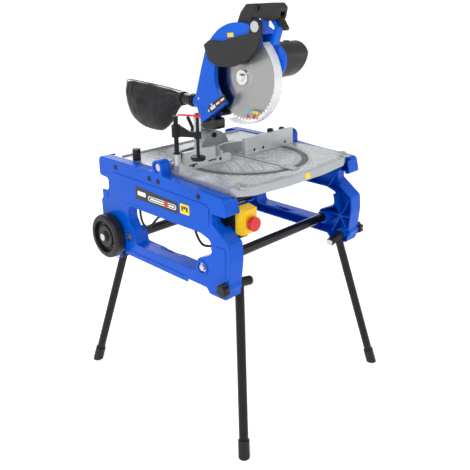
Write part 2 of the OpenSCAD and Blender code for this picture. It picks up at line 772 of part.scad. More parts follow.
module lock_button() { color("black") place() rod_x(-grip_half - 5, -12, lock_y, lock_z, 7); }

module belt_cover() {
    color("dimgray") place() difference() {
        hull() {
            rod_x(arm_x1, motor_x0, blade_y, blade_z, 34);
            rod_x(arm_x1, motor_x0, motor_y, motor_z, motor_r);
        }
        hull() {
            rod_x(arm_x1 - 1, motor_x0 - 3, blade_y, blade_z, 30);
            rod_x(arm_x1 - 1, motor_x0 - 3, motor_y, motor_z, 46);
        }
        rod_x(arm_x1, motor_x0 + 1, motor_y, motor_z, 7);
    }
}

module motor_housing() {
    color("dimgray") place() difference() {
        union() {
            difference() {
                rod_x(motor_x0, motor_x1, motor_y, motor_z, motor_r);
                rod_x(motor_x0 + 4, motor_x1 - 4, motor_y, motor_z, motor_r - 4);
            }
            rod_x(motor_x0, motor_x0 + 8, motor_y, motor_z, 14);
            translate([84, motor_y, motor_z + motor_r - 5]) cylinder(h = 7, r = 9);
        }
        rod_x(motor_x0 - 1, motor_x0 + 9, motor_y, motor_z, 6 + run_gap);
        // chamfered end
        translate([motor_x1, 0, motor_z + 20]) rotate([0, 28, 0]) block([0, -200, -200], [80, 100, 100]);
    }
    color("dimgray") place() intersection() {
        rod_x(motor_x0, motor_x1, motor_y, motor_z, motor_r);
        translate([motor_x1, 0, motor_z + 20]) rotate([0, 28, 0]) block([-4, -200, -200], [0, 100, 100]);
    }
}

module rotor() {
    color("silver") place() {
        rod_x(40, 92, motor_y, motor_z, 6);
        rod_x(74, 90, motor_y, motor_z, 24);
        rod_x(belt_x0, belt_x1, motor_y, motor_z, 12);
    }
}

module drive_belt() {
    color("black") place() difference() {
        hull() {
            rod_x(belt_x0 + 1, belt_x1 - 1, motor_y, motor_z, 14.3, $fn = 32);
            rod_x(belt_x0 + 1, belt_x1 - 1, blade_y, blade_z, 26.3, $fn = 32);
        }
        hull() {
            rod_x(belt_x0, belt_x1, motor_y, motor_z, 12.3, $fn = 32);
            rod_x(belt_x0, belt_x1, blade_y, blade_z, 24.3, $fn = 32);
        }
    }
}

tooth_pitch = 360 / blade_teeth;
module blade() {
    color("silver") place() difference() {
        translate([0, blade_y, blade_z]) rotate([90, 0, 90]) translate([0, 0, -1.2]) linear_extrude(2.4)
            polygon([for (i = [0:blade_teeth - 1]) let (a = i * tooth_pitch)
                each [blade_r * [cos(a), sin(a)], (blade_r - 7) * [cos(a + 1), sin(a + 1)],
                      (blade_r - 6) * [cos(a + tooth_pitch * 0.5), sin(a + tooth_pitch * 0.5)]]]);
        rod_x(-5, 5, blade_y, blade_z, arbor_r, $fn = 48);
    }
}

module arbor() {
    color("silver") place() {
        rod_x(-9, 58, blade_y, blade_z, arbor_r);
        rod_x(-8, -1.2, blade_y, blade_z, 22);
        rod_x(1.2, 8, blade_y, blade_z, 22);
        rod_x(-17, -8, blade_y, blade_z, 11, $fn = 6);
        rod_x(belt_x0, belt_x1, blade_y, blade_z, 24);
    }
}

guard_a0 = 130;
guard_a1 = 291;
module guard_side(x0, x1, hole) {
    slab_x(x0, x1) translate(blade_c) difference() {
        union() {
            sector(guard_r, guard_a0, guard_a1);
            circle(r = 34);
        }
        circle(r = hole);
    }
}
module lower_guard() {
    color("azure", 0.5) place() {
        guard_side(-guard_half, -guard_half + 2, 26);
        guard_side(guard_half - 2, guard_half, 24 + run_gap);
        slab_x(-guard_half, guard_half) translate(blade_c) difference() {
            sector(guard_r, guard_a0, guard_a1);
            circle(r = guard_r - 2.5, $fn = 96);
        }
    }
}

module dust_spout() {
    color("black") place() {
        difference() {
            union() {
                rod_y(spout_x, 196, 262, spout_z, spout_r);
                rod_y(spout_x, 206, 210, spout_z, spout_r + 3);
                rod_y(spout_x, 216, 220, spout_z, spout_r + 3);
            }
            rod_y(spout_x, 195, 263, spout_z, spout_r - 3);
        }
        // rubber flap behind the blade
        slab_x(-19.7, 19.7)
            polygon(concat(arc(blade_c, guard_r + 1.7, -60, -36), arc(blade_c, guard_r - 8, -36, -60)));
    }
}

module dust_bag() {
    color("black") place() hull() {
        slab_x(spout_x - 18, spout_x + 18)
            polygon([[262.5, 780], [320, 742], [366, 704], [410, 683], [462, 683], [522, 692], [574, 718],
                     [bag_back, 784], [568, 826], [400, 820], [262.5, 816]]);
        slab_x(spout_x - 47, spout_x + 47)
            polygon([[300, 785], [340, 750], [410, 711], [462, 711], [522, 718], [556, 738], [560, 790],
                     [545, 805], [400, 800], [300, 800]]);
    }
}

frame_left();
frame_right();
tube_front();
tube_rear();
frame_bolts();
switch_box();
switch_housing();
switch_lid();
stop_button();
start_button();
motor_lead();
lead_plug();
leg_front_left();
leg_front_right();
leg_rear_left();
leg_rear_right();
foot_front_left();
foot_front_right();
foot_rear_left();
foot_rear_right();
knob_left();
knob_right();
tyre_left();
tyre_right();
hub_left();
hub_right();
table();
bench_plate();
scale_ring();
pivot_pins();
fence_left();
fence_right();
fence_base();
fence_screws();
table_latch();
clamp_post();
clamp_arm();
clamp_screw();
clamp_lever();
turntable();
bevel_bolts();
bevel_arm();
spring_housing();
chop_pin();
bevel_lever();
head_arm();
side_cover();
head_screws();
handle();
trigger();
lock_button();
belt_cover();
motor_housing();
rotor();
drive_belt();
blade();
arbor();
lower_guard();
dust_spout();
dust_bag();
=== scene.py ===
"""Looks of the flip-over mitre saw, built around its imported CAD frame."""
import json
import math

import bmesh
import bpy
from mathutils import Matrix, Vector, noise


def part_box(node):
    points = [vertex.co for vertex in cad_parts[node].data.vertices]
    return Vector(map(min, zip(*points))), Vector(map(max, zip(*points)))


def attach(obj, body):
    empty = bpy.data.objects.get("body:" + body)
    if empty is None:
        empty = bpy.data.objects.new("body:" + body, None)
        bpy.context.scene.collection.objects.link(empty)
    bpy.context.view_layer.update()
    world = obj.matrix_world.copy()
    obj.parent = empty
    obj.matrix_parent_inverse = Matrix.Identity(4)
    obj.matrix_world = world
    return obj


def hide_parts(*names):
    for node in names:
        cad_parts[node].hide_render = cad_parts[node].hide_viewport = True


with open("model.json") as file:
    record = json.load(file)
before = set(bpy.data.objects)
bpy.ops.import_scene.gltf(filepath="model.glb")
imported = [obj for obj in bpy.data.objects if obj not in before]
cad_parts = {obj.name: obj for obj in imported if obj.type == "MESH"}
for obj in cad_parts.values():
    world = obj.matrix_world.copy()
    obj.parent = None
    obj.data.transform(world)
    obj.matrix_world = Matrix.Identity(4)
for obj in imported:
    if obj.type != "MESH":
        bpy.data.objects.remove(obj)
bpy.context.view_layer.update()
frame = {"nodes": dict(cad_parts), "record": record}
nodes = frame["nodes"]

# The CAD's drawing plane lies 70 mm above the floor, and its turntable's centre 140.25 mm in front.
BACK, LIFT = 0.14025, 0.070


def at(x, y, z):
    """A point of the CAD drawing, in mm, as a point of the frame, in metres."""
    return Vector((x / 1000, y / 1000 - BACK, z / 1000 + LIFT))


# ---------------------------------------------------------------- camera
cam_data = bpy.data.cameras.new("camera")
cam = bpy.data.objects.new("camera", cam_data)
bpy.context.scene.collection.objects.link(cam)
bpy.context.scene.camera = cam
yaw, pitch = math.radians(42.79), math.radians(16.37)
cam.location = (-1.29757, -1.39644, 1.19603)
ahead = Vector((math.cos(yaw) * math.cos(pitch), math.sin(yaw) * math.cos(pitch), -math.sin(pitch)))
cam.rotation_mode = "QUATERNION"
cam.rotation_quaternion = ahead.to_track_quat("-Z", "Y")
cam_data.lens, cam_data.sensor_width = 47.6, 36.0
cam_data.shift_x, cam_data.shift_y = -0.05, -0.13
cam_data.clip_start, cam_data.clip_end = 0.05, 50


# ---------------------------------------------------------------- materials
class Mat:
    """A Principled material with tint, roughness and bump that vary over the surface."""

    def __init__(self, name, color, rough, metal=0.0, coat=0.0, sheen=0.0, specular=0.35, edge=0.0006):
        self.m = bpy.data.materials.new(name)
        self.m.use_nodes = True
        self.nt = self.m.node_tree
        self.b = self.nt.nodes["Principled BSDF"]
        self.color = color
        self.b.inputs["Metallic"].default_value = metal
        self.b.inputs["Roughness"].default_value = rough
        self.b.inputs["Specular IOR Level"].default_value = specular
        self.b.inputs["Coat Weight"].default_value = coat
        self.b.inputs["Coat Roughness"].default_value = 0.12
        self.b.inputs["Sheen Weight"].default_value = sheen
        self.rough = rough
        self.edge = edge
        self.coord = self.node("ShaderNodeTexCoord").outputs["Object"]
        self.height = None

    def node(self, kind, **inputs):
        n = self.nt.nodes.new(kind)
        for k, v in inputs.items():
            key = int(k[1:]) if k[0] == "i" and k[1:].isdigit() else k.replace("_", " ")
            if hasattr(v, "is_output"):
                self.nt.links.new(v, n.inputs[key])
            else:
                n.inputs[key].default_value = v
        return n

    def math(self, op, a, b=0.0):
        n = self.node("ShaderNodeMath", i0=a, i1=b)
        n.operation = op
        return n.outputs[0]

    def scaled(self, scale, offset=(0, 0, 0)):
        """The object's coordinates, scaled and then shifted."""
        n = self.node("ShaderNodeMapping", Vector=self.coord)
        n.inputs["Scale"].default_value = scale
        n.inputs["Location"].default_value = offset
        return n.outputs[0]

    def noise(self, scale, detail, vector=None):
        n = self.node("ShaderNodeTexNoise", Vector=vector or self.coord)
        n.inputs["Scale"].default_value = scale
        n.inputs["Detail"].default_value = detail
        return n.outputs["Fac"]

    def ramp(self, value, lo, hi, a, b):
        """Maps lo..hi to a..b."""
        n = self.node("ShaderNodeMapRange", Value=value)
        for key, v in (("From Min", lo), ("From Max", hi), ("To Min", a), ("To Max", b)):
            n.inputs[key].default_value = v
        return n.outputs[0]

    def tint(self, value, dark, light):
        """Base colour between a darker and a lighter tone of the material's own."""
        n = self.node("ShaderNodeMix")
        n.data_type = "RGBA"
        self.nt.links.new(value, n.inputs[0])
        n.inputs[6].default_value = (*(c * dark for c in self.color), 1)
        n.inputs[7].default_value = (*(min(1, c * light) for c in self.color), 1)
        self.nt.links.new(n.outputs[2], self.b.inputs["Base Color"])

    def bump(self, value, depth):
        """Adds relief, depth in millimetres."""
        scaled = self.math("MULTIPLY", value, depth)
        self.height = scaled if self.height is None else self.math("ADD", self.height, scaled)
        return self

    def shine(self, value, spread):
        """Roughness that varies by spread to either side."""
        out = self.ramp(value, 0.3, 0.7, max(0.03, self.rough - spread), min(1, self.rough + spread))
        self.nt.links.new(out, self.b.inputs["Roughness"])

    def done(self):
        """Joins the relief to a shading normal that rounds the edges."""
        edge = self.nt.nodes.new("ShaderNodeBevel")
        edge.samples = 4
        edge.inputs["Radius"].default_value = self.edge
        n = self.node("ShaderNodeBump", Height=self.height, Normal=edge.outputs[0])
        n.inputs["Strength"].default_value = 1.0
        n.inputs["Distance"].default_value = 0.001
        self.nt.links.new(n.outputs[0], self.b.inputs["Normal"])
        return self.m


def plastic(name, color, rough=0.38, grain=900, depth=0.02, coat=0.0, edge=0.0015):
    m = Mat(name, color, rough, coat=coat, edge=edge)
    m.tint(m.noise(14, 4), 0.85, 1.12)
    m.shine(m.noise(45, 4), 0.07)
    m.bump(m.noise(grain, 2), depth).bump(m.noise(18, 2), 0.15)
    return m.done()


def metal(name, color, rough=0.35, streak=(1, 1, 1), depth=0.008, metallic=0.9):
    m = Mat(name, color, rough, metal=metallic)
    m.tint(m.noise(22, 5), 0.88, 1.06)
    m.shine(m.noise(60, 4), 0.09)
    m.bump(m.noise(700, 2, vector=m.scaled(streak)), depth)
    return m.done()


def painted(name, color, rough=0.25, coat=0.3, peel=0.012, edge=0.003):
    m = Mat(name, color, rough, coat=coat, edge=edge, specular=0.12)
    m.tint(m.noise(9, 3), 0.9, 1.08)
    m.shine(m.noise(35, 4), 0.04)
    m.bump(m.noise(260, 2), peel).bump(m.noise(12, 2), 0.25)
    return m.done()


def cast(name, color, rough=0.42, metallic=0.75, edge=0.001):
    m = Mat(name, color, rough, metal=metallic, edge=edge)
    m.tint(m.noise(16, 5), 0.9, 1.06)
    m.shine(m.noise(50, 4), 0.08)
    m.bump(m.noise(1100, 3), 0.025).bump(m.noise(90, 3), 0.02)
    return m.done()


def rubber(name, color=(0.008, 0.008, 0.009), rough=0.6, edge=0.001):
    m = Mat(name, color, rough, edge=edge)
    m.tint(m.noise(30, 5), 0.7, 1.6)
    m.shine(m.noise(70, 4), 0.12)
    m.bump(m.noise(800, 3), 0.04)
    return m.done()


def woven(name, color):
    """Cloth whose threads cross, as two waves multiplied."""
    m = Mat(name, color, 0.72, sheen=0.12)
    m.b.inputs["Sheen Roughness"].default_value = 0.4
    wave = []
    for axis in ("Y", "Z"):
        w = m.node("ShaderNodeTexWave", Vector=m.coord)
        w.bands_direction = axis
        w.inputs["Scale"].default_value = 1700 / 6.28
        w.inputs["Distortion"].default_value = 0.4
        wave.append(w.outputs["Fac"])
    weave = m.math("MULTIPLY", wave[0], wave[1])
    m.tint(m.noise(25, 5), 0.6, 1.7)
    m.shine(m.noise(40, 3), 0.1)
    m.bump(weave, 0.05).bump(m.noise(45, 4), 0.6)
    return m.done()


def flat(name, color):
    """Printed film: even colour with a faint grain. The black one also serves as painted shade in the fence
    rail's slots.
    """
    m = Mat(name, color, 0.4, coat=0.2)
    m.tint(m.noise(200, 3), 0.93, 1.04)
    m.bump(m.noise(600, 2), 0.008)
    return m.done()


M = {
    "blue_shell": painted("blue_shell", (0.0, 0.088, 0.58), 0.22, 0.12, 0.005, edge=0.004),
    "blue_head": painted("blue_head", (0.0, 0.105, 0.66), 0.16, 0.25, 0.004, edge=0.002),
    "black_tube": painted("black_tube", (0.006, 0.006, 0.007), 0.2, 0.4),
    "grey_leg": painted("grey_leg", (0.012, 0.012, 0.014), 0.36, 0.1),
    "steel": metal("steel", (0.6, 0.6, 0.61), 0.28),
    "bright": metal("bright", (0.85, 0.85, 0.85), 0.16, depth=0.003),
    "rubber": rubber("rubber"),
    "tyre": rubber("tyre", (0.010, 0.010, 0.011), 0.45, edge=0.003),
    "black": plastic("black", (0.008, 0.008, 0.009), 0.38),
    "black_gloss": plastic("black_gloss", (0.007, 0.007, 0.008), 0.24, depth=0.01, coat=0.2),
    "grey": plastic("grey", (0.03, 0.03, 0.033), 0.4),
    "yellow": plastic("yellow", (0.93, 0.56, 0.0), 0.34, depth=0.01, coat=0.2),
    "red": plastic("red", (0.62, 0.010, 0.012), 0.32, depth=0.01, coat=0.25, edge=0.003),
    "green": plastic("green", (0.02, 0.36, 0.08), 0.34),
    "table": cast("table", (0.42, 0.44, 0.46), 0.38, 0.6),
    # pads: lighter than the table partly for their machined finish and partly as painted light, the lit tops
    # of raised lands over shaded recesses.
    "pads_machined_and_painted_light": metal("pads_machined_and_painted_light", (0.72, 0.75, 0.78), 0.3, metallic=0.65),
    "bench": metal("bench", (0.5, 0.5, 0.52), 0.38, (1, 20, 1)),
    "bronze": metal("bronze", (0.10, 0.075, 0.062), 0.42, metallic=0.3),
    "fence": metal("fence", (0.56, 0.58, 0.59), 0.36, (1, 14, 14), 0.012, 0.65),
    "screw": metal("screw", (0.02, 0.02, 0.022), 0.35, metallic=0.6),
    "clamp": painted("clamp", (0.014, 0.013, 0.013), 0.4, 0.1, 0.05, edge=0.0015),
    "arm": cast("arm", (0.62, 0.65, 0.68), 0.3, 0.7, 0.002),
    "dark": plastic("dark", (0.019, 0.018, 0.019), 0.44, 700, 0.03, edge=0.003),
    "motor": plastic("motor", (0.022, 0.021, 0.021), 0.36, 700, 0.02, edge=0.004),
    "bag": woven("bag", (0.011, 0.011, 0.013)),
    # The black film is the labels' black print, and also painted shade in the fence rail's slots.
    "film_black_and_slot_shade": flat("film_black_and_slot_shade", (0.012, 0.012, 0.012)),
    "film_white": flat("film_white", (0.8, 0.8, 0.8)),
    "film_red": flat("film_red", (0.6, 0.02, 0.015)),
    "film_yellow": flat("film_yellow", (0.9, 0.68, 0.0)),
    "film_cyan": flat("film_cyan", (0.12, 0.5, 0.72)),
    "film_pink": flat("film_pink", (0.75, 0.28, 0.26)),
}


def about_arbor(m):
    """The object's coordinates, counted from the blade's centre."""
    low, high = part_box("blade")
    return m.scaled((1, 1, 1), tuple(-(a + b) / 2 for a, b in zip(low, high)))


def blade_steel():
    """Steel ground in rings round the arbor."""
    m = Mat("blade", (0.36, 0.35, 0.34), 0.24, metal=1.0)
    w = m.node("ShaderNodeTexWave", Vector=about_arbor(m))
    w.wave_type = "RINGS"
    w.rings_direction = "X"
    w.inputs["Scale"].default_value = 130
    w.inputs["Distortion"].default_value = 3
    w.inputs["Detail"].default_value = 3
    w.inputs["Detail Scale"].default_value = 4
    m.b.inputs["Anisotropic"].default_value = 0.6
    t = m.node("ShaderNodeTangent")
    t.direction_type = "RADIAL"
    t.axis = "X"
    m.nt.links.new(t.outputs[0], m.b.inputs["Tangent"])
    m.tint(m.noise(12, 4), 0.85, 1.1)
    m.shine(w.outputs["Fac"], 0.07)
    m.bump(w.outputs["Fac"], 0.006)
    return m.done()


def clear_plastic():
    """Clear sheet, more opaque in its pale tone along its outer rim: a painted highlight where the edge
    catches the light.
    """
    m = Mat("clear", (0.88, 0.90, 0.91), 0.10, specular=0.6)
    part = m.node("ShaderNodeSeparateXYZ", Vector=about_arbor(m))
    y, z = part.outputs["Y"], part.outputs["Z"]
    reach = m.math("SQRT", m.math("ADD", m.math("MULTIPLY", y, y), m.math("MULTIPLY", z, z)))
    # The outer rim gets alpha 0.6 of the pale tone, against 0.09 for the sheet. This is a painted highlight,
    # the bright outline that the clear edge shows in light.
    rim_highlight_from, rim_highlight_to, sheet, rim = 0.1325, 0.1345, 0.09, 0.6
    m.nt.links.new(m.ramp(reach, rim_highlight_from, rim_highlight_to, sheet, rim), m.b.inputs["Alpha"])
    m.tint(m.noise(10, 3), 0.95, 1.05)
    m.shine(m.noise(30, 3), 0.05)
    m.bump(m.noise(25, 2), 0.05)
    return m.done()


M["blade"] = blade_steel()
M["clear"] = clear_plastic()

# Finish of each CAD material slot, and of the nodes that differ from their slot.
FINISH = {
    "blue_shell": "blue_shell", "blue_head": "blue_head", "black_tube": "black_tube",
    "grey_leg": "grey_leg", "steel_bolt": "steel", "rubber": "rubber", "black_plastic": "black",
    "grey_plastic": "grey", "yellow_plastic": "yellow", "red_plastic": "red",
    "green_plastic": "green", "table_casting": "table", "bench_steel": "bench",
    "scale_bronze": "bronze", "fence_alloy": "fence", "black_screw": "screw",
    "clamp_steel": "clamp", "arm_alloy": "arm", "dark_plastic": "dark", "blade_steel": "blade",
    "clear_guard": "clear", "bag_cloth": "bag",
}
OWN_FINISH = {
    "hub_left": "dark", "hub_right": "dark", "tyre_left": "tyre", "tyre_right": "tyre",
    "motor_housing": "motor", "spring_housing": "black_gloss", "clamp_lever": "red",
    "arbor": "bright",
}


def soften(obj, width_mm):
    """Rounds the sharp edges, which catch the light as the real ones do."""
    weld = obj.modifiers.new("weld", "WELD")
    weld.merge_threshold = 0.00001
    bevel = obj.modifiers.new("round", "BEVEL")
    bevel.width = width_mm / 1000
    bevel.segments = 3
    bevel.limit_method = "ANGLE"
    bevel.angle_limit = math.radians(35)
    bevel.use_clamp_overlap = True
    bevel.harden_normals = True
    bevel.miter_outer = "MITER_ARC"


slot_of = {s["node"]: s["material_slot"] for s in frame["record"]["subparts"]}
for name, obj in nodes.items():
    chosen = M[OWN_FINISH.get(name, FINISH[slot_of[name]])]
    if not obj.material_slots:
        obj.data.materials.append(chosen)
    for s in obj.material_slots:
        s.material = chosen


# ---------------------------------------------------------------- shape helpers
def add(name, mesh, material, body, smooth=True, bevel=None):
    """Puts a mesh in the scene, on a body of the CAD, with one of the script's materials."""
    obj = bpy.data.objects.new(name, mesh)
    bpy.context.scene.collection.objects.link(obj)
    mesh.materials.clear()
    mesh.materials.append(M[material])
    for p in mesh.polygons:
        p.use_smooth = smooth
    if bevel:
        soften(obj, bevel)
    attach(obj, body)
    return obj


def mesh_from(name, verts, faces):
    """A mesh whose faces all look outwards."""
    mesh = bpy.data.meshes.new(name)
    mesh.from_pydata([tuple(v) for v in verts], [], faces)
    mesh.validate()
    mesh.update()
    bm = bmesh.new()
    bm.from_mesh(mesh)
    bmesh.ops.recalc_face_normals(bm, faces=bm.faces)
    bm.to_mesh(mesh)
    bm.free()
    return mesh


def merged(name, parts):
    """One mesh of several shapes, each a pair of vertices and faces."""
    verts, faces = [], []
    for v, f in parts:
        base = len(verts)
        verts += list(v)
        faces += [[i + base for i in face] for face in f]
    return mesh_from(name, verts, faces)


def prism(outline, axis, a, b):
    """A closed prism over a 2-D outline, in mm. axis is the one that it is drawn along."""
    n = len(outline)
    place = "xyz".index(axis)
    verts = []
    for w in (a, b):
        for point in outline:
            coords = list(point)
            coords.insert(place, w)
            verts.append(at(*coords))
    faces = [list(range(n)), list(range(2 * n - 1, n - 1, -1))]
    faces += [[i, (i + 1) % n, n + (i + 1) % n, n + i] for i in range(n)]
    return verts, faces


def rounded(u0, v0, u1, v1, r, n=6):
    """A rectangle's outline with rounded corners."""
    pts = []
    corners = ((u1 - r, v1 - r, 0), (u0 + r, v1 - r, 90), (u0 + r, v0 + r, 180), (u1 - r, v0 + r, 270))
    for cu, cv, start in corners:
        for i in range(n + 1):
            t = math.radians(start + 90 * i / n)
            pts.append((cu + r * math.cos(t), cv + r * math.sin(t)))
    return pts


def disc(cu, cv, r, n=32):
    """A circle's outline."""
    turns = [2 * math.pi * i / n for i in range(n)]
    return [(cu + r * math.cos(t), cv + r * math.sin(t)) for t in turns]


def rings_joined(rings, n):
    """Faces of a tube whose vertices run ring by ring, n to a ring."""
    faces = []
    for j in range(rings - 1):
        for i in range(n):
            k = (i + 1) % n
            faces.append([j * n + i, j * n + k, (j + 1) * n + k, (j + 1) * n + i])
    return faces


def capped(rings, n):
    """The same tube, closed at both ends."""
    ends = [list(range(n - 1, -1, -1)), list(range((rings - 1) * n, rings * n))]
    return rings_joined(rings, n) + ends


def lathe(origin, axis, profile, n=40):
    """Turns (distance along the axis, radius) pairs, in mm, about an axis through origin."""
    axis = Vector(axis).normalized()
    side = axis.orthogonal().normalized()
    other = axis.cross(side)
    least = 0.01
    verts = []
    for d, r in profile:
        for i in range(n):
            t = 2 * math.pi * i / n
            out = side * math.cos(t) + other * math.sin(t)
            verts.append(at(*(Vector(origin) + axis * d + out * max(r, least))))
    return verts, capped(len(profile), n)


# ---------------------------------------------------------------- table details
TABLE_TOP, TURN_TOP = 648.0, 647.6
LAND = 0.2  # height of the deck's raised pads, under the fence's running gap


def pad(cx, cy, along_x, along_y, z, height=LAND, turn=0.0):
    """A raised land with sloping sides."""
    root, slope = 0.2, 0.5
    c, s = math.cos(turn), math.sin(turn)
    verts = []
    for k, zz in ((0.0, z - root), (slope, z + height)):
        for sx, sy in ((-1, -1), (1, -1), (1, 1), (-1, 1)):
            u, v = sx * (along_x / 2 - k), sy * (along_y / 2 - k)
            verts.append(at(cx + u * c - v * s, cy + u * s + v * c, zz))
    faces = [[3, 2, 1, 0], [4, 5, 6, 7]]
    faces += [[i, (i + 1) % 4, 4 + (i + 1) % 4, 4 + i] for i in range(4)]
    return verts, faces


# The fixed deck's pads stand in columns and rows, all over what is bare of fence, scale ring, rear bridge and
# latch knob. Their tone, lighter than the table's, is partly their machined finish and partly painted light:
# the lit tops of raised lands over shaded recesses, which their 0.2 mm relief can't give.
COLUMN, ROW, ROW_FROM = 12.6, 12.2, -0.5
DECK_SIDE, DECK_BACK, EDGE = 246, 262, 10
RING_OUT, BRIDGE_OUT, FENCE_REACH = 199, 222, 190
FENCE_FRONT, FENCE_BACK = 4, 48
BRIDGE_FRONT, BRIDGE_SIDE = 130, 205
LATCH_RIGHT, LATCH_FRONT = -205, 170


def deck_front(x):
    """The table's front edge, bowed, with its corners cut."""
    bow, corner_from, corner_slope = 0.00042, 190, 0.75
    return -232 + bow * x * x + max(0, abs(x) - corner_from) * corner_slope


def bare_deck(x, y):
    r = math.hypot(x, y)
    if abs(x) > DECK_SIDE or y > DECK_BACK or y < deck_front(x) + EDGE or r < RING_OUT:
        return False
    if FENCE_FRONT < y < FENCE_BACK and r > FENCE_REACH:
        return False
    if y > BRIDGE_FRONT and r < BRIDGE_OUT and abs(x) < BRIDGE_SIDE:
        return False
    return not (x < LATCH_RIGHT and y > LATCH_FRONT)


parts = []
for ix in range(-19, 20):
    for iy in range(-18, 26):
        x, y = ix * COLUMN, ROW_FROM + iy * ROW
        if bare_deck(x, y):
            parts.append(pad(x, y, 10.4, 4.6, TABLE_TOP))
            parts.append(pad(x, y + ROW / 2, 10.4, 3.4, TABLE_TOP))
add("deck_lands", merged("deck_lands", parts), "pads_machined_and_painted_light", "bench", smooth=False)

# The turntable's bars slant away from the kerf on both sides, each tied to the next by rungs. Like the deck's
# pads, their lighter tone is partly machined finish and partly painted light on the tops of lands too shallow
# to shade.
SLANT = math.radians(32)
BAR_STEP, BAR_PITCH, BAR_CENTRE = 31, 9.5, -70
KERF_SIDE, TURN_EDGE, TURN_BACK = 27, 152, -10
RUNG_AT, RUNG_ASIDE = 8, 4.7
parts = []
for side in (-1, 1):
    turn = SLANT * side
    ux, uy = math.cos(turn), math.sin(turn)
    for step in range(-9, 10):
        for k in range(-17, 18):
            x = step * BAR_STEP * ux - k * BAR_PITCH * uy
            y = step * BAR_STEP * uy + k * BAR_PITCH * ux + BAR_CENTRE
            if x * side < KERF_SIDE or y > TURN_BACK or math.hypot(x, y) > TURN_EDGE:
                continue
            parts.append(pad(x, y, 24.0, 4.6, TURN_TOP, turn=turn))
            for rung in (-RUNG_AT, RUNG_AT):
                rx, ry = x + rung * ux - RUNG_ASIDE * uy, y + rung * uy + RUNG_ASIDE * ux
                parts.append(pad(rx, ry, 2.6, 5.4, TURN_TOP, turn=turn))
add("turntable_lands", merged("turntable_lands", parts), "pads_machined_and_painted_light", "mitre", smooth=False)

# Fine graduations on the scale ring, longer at every fifth degree.
SCALE_OUT, MARK_WIDTH, MARK_HEIGHT = 188, 0.7, 0.15
parts = []
for deg in range(-148, -31):
    t = math.radians(deg)
    long = 11 if deg % 5 == 0 else 6
    r = SCALE_OUT - long / 2
    parts.append(pad(math.cos(t) * r, math.sin(t) * r, long, MARK_WIDTH, TABLE_TOP, MARK_HEIGHT, t))
add("scale_marks", merged("scale_marks", parts), "film_white", "bench", smooth=False)

# Raised lip behind the table, its corner bosses, its sticker and the inserts beside the kerf.
parts = [prism(rounded(-250, 269, 250, 274.5, 2), "z", TABLE_TOP, TABLE_TOP + 5.5)]
add("table_lip", merged("table_lip", parts), "table", "bench", bevel=0.8)
boss = [(0, 15), (5, 15), (7, 13.5), (7.8, 10), (7.8, 0)]
parts = [lathe((x, -206, TABLE_TOP - 2), (0, 0, 1), boss, 32) for x in (-222, 222)]
add("table_corners", merged("table_corners", parts), "table", "bench")
parts = [prism(rounded(-5, 628, 15, 644, 2), "y", -236.6, -234)]
add("table_sticker", merged("table_sticker", parts), "film_yellow", "bench", smooth=False)
parts = [prism(rounded(a, -157, b, 86, 1.5), "z", TURN_TOP - 0.3, TURN_TOP + 0.35)
         for a, b in ((4.3, 15), (-15, -4.3))]
add("kerf_inserts", merged("kerf_inserts", parts), "fence", "mitre", bevel=0.2)

# Black patches where the slots in the left fence rail are: painted shade standing for their dark openings.
# Then the black knobs behind both rails.
parts = [prism(rounded(a, 660.5, b, 664.5, 1.9), "y", 9.6, 11) for a, b in ((-212, -182), (-140, -107))]
add("fence_slot_shade", merged("fence_slot_shade", parts), "film_black_and_slot_shade", "bench", smooth=False)


def knurled(origin, height, r, lobes=16):
    """A small turned knob with grips round its rim, four vertices to a grip."""
    n = lobes * 4
    groove = 0.07
    x, y, foot = origin
    levels = [(0, r * 0.7), (0.6, r * 0.92), (height * 0.15, r), (height * 0.8, r),
              (height * 0.95, r * 0.9), (height, r * 0.72)]
    verts = []
    for z, rr in levels:
        grooved = height * 0.1 < z < height * 0.9
        for i in range(n):
            t = 2 * math.pi * i / n
            grip = 1 - (groove if grooved and i % 4 in (0, 1) else 0)
            verts.append(at(x + rr * grip * math.cos(t), y + rr * grip * math.sin(t), foot + z))
    return verts, capped(len(levels), n)


KNOB_Y, KNOB_Z = 33, 654
parts = [knurled((x, KNOB_Y, KNOB_Z), height, r)
         for x, height, r in ((66, 40, 11), (150, 54, 11), (205, 50, 10), (-160, 30, 10))]
add("fence_knobs", merged("fence_knobs", parts), "black", "bench")

# ---------------------------------------------------------------- frame panels and plugs
FRAME_FACE = 289.5  # inside the frames' outer faces, which the panels stand on
panel = [(276, 604), (262, 612), (-140, 604), (-152, 594), (-152, 548), (-124, 531), (196, 531),
         (216, 522), (262, 540), (276, 556)]
raised = [(panel, 291.4), (rounded(-62, 362, 226, 378, 5), 291.0), (rounded(-210, 420, -176, 500, 8), 291.2),
          (rounded(300, 520, 326, 548, 6), 291.0)]
plug = [(0, 7.5), (1.6, 7.5), (2.4, 6.6), (2.4, 4.2), (1.2, 3.8), (1.2, 0)]
plug_places = ((251, 628), (91, 626), (52, 625), (-112, 619))
for side, tag in ((-1, "left"), (1, "right")):
    parts = [prism(outline, "x", side * FRAME_FACE, side * out) for outline, out in raised]
    add("frame_panels_" + tag, merged("frame_panels_" + tag, parts), "blue_shell", "stand",
        smooth=False)
    parts = [lathe((side * FRAME_FACE, y, z), (side, 0, 0), plug, 24) for y, z in plug_places]
    add("frame_plugs_" + tag, merged("frame_plugs_" + tag, parts), "black", "stand")

# ---------------------------------------------------------------- labels without writing
LABEL_X = -291.4  # the left frame's panel


def on_frame(outline, out, depth=0.0):
    """A patch that stands out mm proud of the left frame's panel."""
    return prism(outline, "x", LABEL_X - out, LABEL_X + depth)


